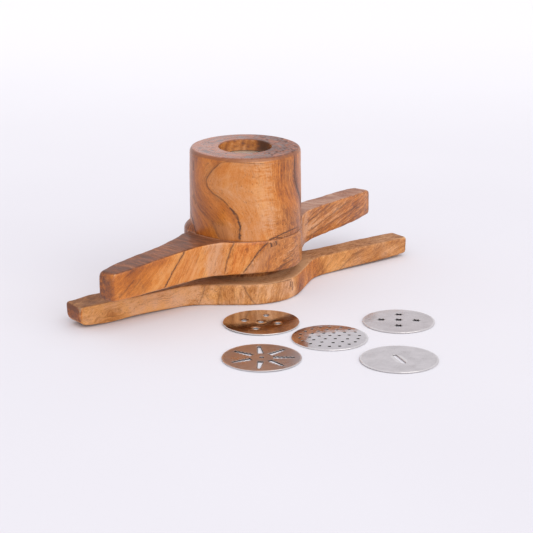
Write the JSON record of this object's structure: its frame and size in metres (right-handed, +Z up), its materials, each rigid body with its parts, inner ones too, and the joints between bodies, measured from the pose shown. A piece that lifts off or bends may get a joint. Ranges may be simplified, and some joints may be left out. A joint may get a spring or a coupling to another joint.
{
  "type": "hand dough press",
  "caption": "Wooden hand press: a handled barrel turns and slides over an upright ram on a bar, with a steel die plate under its outlet and spare die plates lying loose beside it.",
  "frame": {"origin": "on the axis of the ram, at the flat underside of the plunger's bar that rests on the table", "axes": "+Z up along the ram, +X along the plunger's bar, -Y towards the loose plates"},
  "size_m": [0.3412, 0.2919, 0.1228],
  "materials": {
    "barrel_wood": "semi-gloss varnished teak with dark veins",
    "plunger_wood": "semi-gloss varnished teak, paler and plainer",
    "plate_steel": "polished sheet steel, lightly scratched"
  },
  "bodies": {
    "plunger": {"plunger": "plunger_wood"},
    "fitted_plate": {"fitted_plate": "plate_steel"},
    "barrel": {"barrel": "barrel_wood"},
    "five_hole_plate": {"five_hole_plate": "plate_steel"},
    "ribbon_plate": {"ribbon_plate": "plate_steel"},
    "fine_hole_plate": {"fine_hole_plate": "plate_steel"},
    "star_hole_plate": {"star_hole_plate": "plate_steel"},
    "single_slot_plate": {"single_slot_plate": "plate_steel"}
  },
  "joints": [
    {"name": "barrel_turn", "type": "hinge", "parent": "plunger", "child": "fitted_plate", "pos_m": [0, 0, 0.1118], "axis": [0, 0, 1], "continuous": true},
    {"name": "barrel_lift", "type": "slide", "parent": "fitted_plate", "child": "barrel", "axis": [0, 0, 1], "range_m": [0, 0.1]},
    {"name": "five_hole_plate_pick_up", "type": "slide", "parent": "plunger", "child": "five_hole_plate", "axis": [0, 0, 1], "range_m": [0, 0.1]},
    {"name": "ribbon_plate_pick_up", "type": "slide", "parent": "plunger", "child": "ribbon_plate", "axis": [0, 0, 1], "range_m": [0, 0.1]},
    {"name": "fine_hole_plate_pick_up", "type": "slide", "parent": "plunger", "child": "fine_hole_plate", "axis": [0, 0, 1], "range_m": [0, 0.1]},
    {"name": "star_hole_plate_pick_up", "type": "slide", "parent": "plunger", "child": "star_hole_plate", "axis": [0, 0, 1], "range_m": [0, 0.1]},
    {"name": "single_slot_plate_pick_up", "type": "slide", "parent": "plunger", "child": "single_slot_plate", "axis": [0, 0, 1], "range_m": [0, 0.1]}
  ]
}
